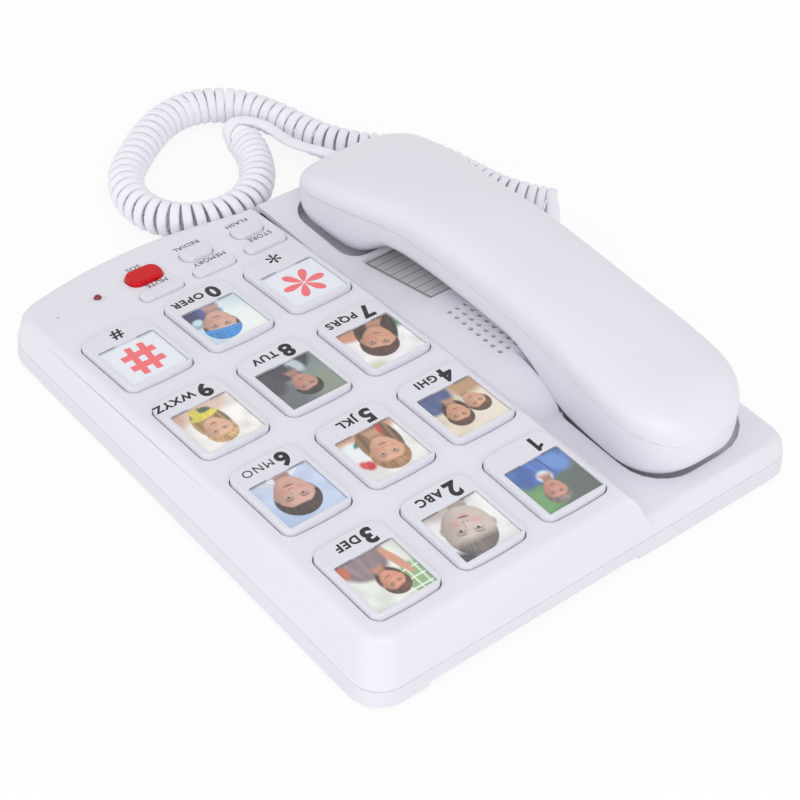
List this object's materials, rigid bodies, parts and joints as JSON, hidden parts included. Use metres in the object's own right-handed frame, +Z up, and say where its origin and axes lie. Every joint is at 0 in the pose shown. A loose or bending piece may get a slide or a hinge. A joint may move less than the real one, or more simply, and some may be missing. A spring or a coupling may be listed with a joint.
{
  "type": "corded desk telephone",
  "caption": "Corded desk telephone with large picture keys on an arched deck, a cradled handset and a curly cord.",
  "frame": {"origin": "bottom centre of the base, on the surface it stands on", "axes": "+X is the user's right, +Y points away from the user, +Z is up"},
  "size_m": [0.2206, 0.3092, 0.0525],
  "materials": {
    "shell_white": "satin injection-moulded white with a faint cool tint",
    "key_white": "satin white key plastic",
    "sos_red": "glossy red",
    "clear_plastic": "clear polished cover",
    "clear_plug": "clear moulded plug",
    "card_paper": "printed paper card",
    "grey_rubber": "soft grey rubber",
    "mat_rubber": "silicone rubber keypad mat",
    "steel": "plated steel",
    "board_green": "coated circuit board",
    "dark_metal": "dark metal frame",
    "red_lens": "dark red lens in a white ring",
    "jack_plastic": "moulded jack housing",
    "black_plastic": "black moulded plastic",
    "cord_white": "soft white cord jacket"
  },
  "bodies": {
    "base": {"base_top_shell": "shell_white", "base_bottom_shell": "shell_white", "rubber_feet": "grey_rubber", "base_screws": "steel", "circuit_board": "board_green", "keypad_mat": "mat_rubber", "loudspeaker": "dark_metal", "index_card": "card_paper", "index_card_cover": "clear_plastic", "status_led": "red_lens", "line_jack": "jack_plastic", "handset_cord_jack": "jack_plastic", "hook_switch": "black_plastic", "base_microphone": "black_plastic", "base_plug": "clear_plug", "curly_cord": "cord_white", "base_lead": "cord_white"},
    "handset": {"handset_top_shell": "shell_white", "handset_bottom_shell": "shell_white", "earpiece_capsule": "dark_metal", "handset_microphone": "black_plastic", "handset_screws": "steel", "handset_socket": "jack_plastic", "handset_plug": "clear_plug", "handset_lead": "cord_white"},
    "hook": {"hook_plunger": "shell_white"},
    "key_star_body": {"key_star": "key_white", "key_window_star": "clear_plastic"},
    "key_0_body": {"key_0": "key_white", "key_window_0": "clear_plastic"},
    "key_hash_body": {"key_hash": "key_white", "key_window_hash": "clear_plastic"},
    "key_7_body": {"key_7": "key_white", "key_window_7": "clear_plastic"},
    "key_8_body": {"key_8": "key_white", "key_window_8": "clear_plastic"},
    "key_9_body": {"key_9": "key_white", "key_window_9": "clear_plastic"},
    "key_4_body": {"key_4": "key_white", "key_window_4": "clear_plastic"},
    "key_5_body": {"key_5": "key_white", "key_window_5": "clear_plastic"},
    "key_6_body": {"key_6": "key_white", "key_window_6": "clear_plastic"},
    "key_1_body": {"key_1": "key_white", "key_window_1": "clear_plastic"},
    "key_2_body": {"key_2": "key_white", "key_window_2": "clear_plastic"},
    "key_3_body": {"key_3": "key_white", "key_window_3": "clear_plastic"},
    "sos_body": {"sos_button": "sos_red"},
    "redial_body": {"redial_button": "key_white"},
    "flash_body": {"flash_button": "key_white"},
    "mute_body": {"mute_button": "key_white"},
    "memory_body": {"memory_button": "key_white"},
    "store_body": {"store_button": "key_white"}
  },
  "joints": [
    {"name": "handset_lift", "type": "slide", "parent": "base", "child": "handset", "axis": [0, 0, 1], "range_m": [0, 0.05]},
    {"name": "hook_release", "type": "slide", "parent": "base", "child": "hook", "axis": [0, 0, 1], "range_m": [0, 0.0028]},
    {"name": "key_star_press", "type": "slide", "parent": "base", "child": "key_star_body", "axis": [0, -0.0855, 0.9963], "range_m": [-0.0018, 0], "stiffness_N_per_m": 300, "springref_m": 0.0005},
    {"name": "key_0_press", "type": "slide", "parent": "base", "child": "key_0_body", "axis": [0, -0.0855, 0.9963], "range_m": [-0.0018, 0], "stiffness_N_per_m": 300, "springref_m": 0.0005},
    {"name": "key_hash_press", "type": "slide", "parent": "base", "child": "key_hash_body", "axis": [0, -0.0855, 0.9963], "range_m": [-0.0018, 0], "stiffness_N_per_m": 300, "springref_m": 0.0005},
    {"name": "key_7_press", "type": "slide", "parent": "base", "child": "key_7_body", "axis": [0, -0.0598, 0.9982], "range_m": [-0.0018, 0], "stiffness_N_per_m": 300, "springref_m": 0.0005},
    {"name": "key_8_press", "type": "slide", "parent": "base", "child": "key_8_body", "axis": [0, -0.0598, 0.9982], "range_m": [-0.0018, 0], "stiffness_N_per_m": 300, "springref_m": 0.0005},
    {"name": "key_9_press", "type": "slide", "parent": "base", "child": "key_9_body", "axis": [0, -0.0598, 0.9982], "range_m": [-0.0018, 0], "stiffness_N_per_m": 300, "springref_m": 0.0005},
    {"name": "key_4_press", "type": "slide", "parent": "base", "child": "key_4_body", "axis": [0, -0.0341, 0.9994], "range_m": [-0.0018, 0], "stiffness_N_per_m": 300, "springref_m": 0.0005},
    {"name": "key_5_press", "type": "slide", "parent": "base", "child": "key_5_body", "axis": [0, -0.0341, 0.9994], "range_m": [-0.0018, 0], "stiffness_N_per_m": 300, "springref_m": 0.0005},
    {"name": "key_6_press", "type": "slide", "parent": "base", "child": "key_6_body", "axis": [0, -0.0341, 0.9994], "range_m": [-0.0018, 0], "stiffness_N_per_m": 300, "springref_m": 0.0005},
    {"name": "key_1_press", "type": "slide", "parent": "base", "child": "key_1_body", "axis": [0, -0.0084, 1], "range_m": [-0.0018, 0], "stiffness_N_per_m": 300, "springref_m": 0.0005},
    {"name": "key_2_press", "type": "slide", "parent": "base", "child": "key_2_body", "axis": [0, -0.0084, 1], "range_m": [-0.0018, 0], "stiffness_N_per_m": 300, "springref_m": 0.0005},
    {"name": "key_3_press", "type": "slide", "parent": "base", "child": "key_3_body", "axis": [0, -0.0084, 1], "range_m": [-0.0018, 0], "stiffness_N_per_m": 300, "springref_m": 0.0005},
    {"name": "sos_press", "type": "slide", "parent": "base", "child": "sos_body", "axis": [0, -0.1078, 0.9942], "range_m": [-0.001, 0], "stiffness_N_per_m": 300, "springref_m": 0.0005},
    {"name": "redial_press", "type": "slide", "parent": "base", "child": "redial_body", "axis": [0, -0.1078, 0.9942], "range_m": [-0.001, 0], "stiffness_N_per_m": 300, "springref_m": 0.0005},
    {"name": "flash_press", "type": "slide", "parent": "base", "child": "flash_body", "axis": [0, -0.1078, 0.9942], "range_m": [-0.001, 0], "stiffness_N_per_m": 300, "springref_m": 0.0005},
    {"name": "mute_press", "type": "slide", "parent": "base", "child": "mute_body", "axis": [0, -0.1009, 0.9949], "range_m": [-0.001, 0], "stiffness_N_per_m": 300, "springref_m": 0.0005},
    {"name": "memory_press", "type": "slide", "parent": "base", "child": "memory_body", "axis": [0, -0.1009, 0.9949], "range_m": [-0.001, 0], "stiffness_N_per_m": 300, "springref_m": 0.0005},
    {"name": "store_press", "type": "slide", "parent": "base", "child": "store_body", "axis": [0, -0.1009, 0.9949], "range_m": [-0.001, 0], "stiffness_N_per_m": 300, "springref_m": 0.0005}
  ],
  "couplings": [
    {"joint": "hook_release", "follows": "handset_lift", "ratio": 0.056}
  ]
}
